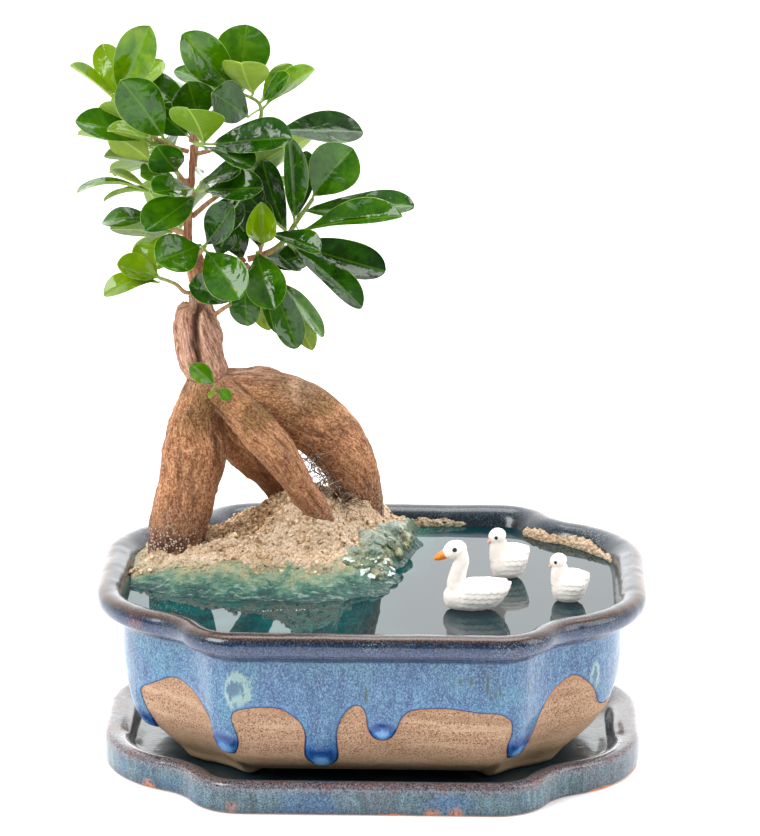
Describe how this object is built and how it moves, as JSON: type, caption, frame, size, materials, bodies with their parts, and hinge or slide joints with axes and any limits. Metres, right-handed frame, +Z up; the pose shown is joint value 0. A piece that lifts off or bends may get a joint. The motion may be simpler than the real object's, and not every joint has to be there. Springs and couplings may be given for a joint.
{
  "type": "bonsai tree in a pot",
  "caption": "Small-leaved bonsai fig on thick bare roots, in a scalloped drip-glazed pot with a sand bank, a clear resin pool with swans, and a matching drip tray.",
  "frame": {"origin": "middle of the drip tray's flat underside, on the surface that the object stands on", "axes": "+Z up, +X along the pot towards the end with the swans, -Y towards the viewer of the front"},
  "size_m": [0.2557, 0.1979, 0.3241],
  "materials": {
    "pot_glaze": "gloss",
    "tray_glaze": "gloss",
    "soil": "matte",
    "sand": "matte",
    "resin": "gloss",
    "foam": "gloss",
    "bark": "matte",
    "leaf": "satin",
    "bird": "matte"
  },
  "bodies": {
    "root": {"drip_tray": "tray_glaze", "pot": "pot_glaze", "potting_soil": "soil", "sand_bank": "sand", "resin_water": "resin", "resin_splash": "foam", "trunk": "bark", "trunk_sprout": "leaf", "shoot_top_left": "leaf", "shoot_top": "leaf", "shoot_top_right": "leaf", "shoot_right": "leaf", "shoot_low": "leaf", "shoot_front": "leaf", "shoot_low_right": "leaf", "shoot_left_high": "leaf", "shoot_left": "leaf", "shoot_left_low": "leaf", "shoot_left_back": "leaf", "shoot_back_left": "leaf", "shoot_back_right": "leaf", "shoot_back_top": "leaf", "shoot_back_low": "leaf", "swan": "bird", "cygnet_1": "bird", "cygnet_2": "bird"}
  },
  "joints": []
}
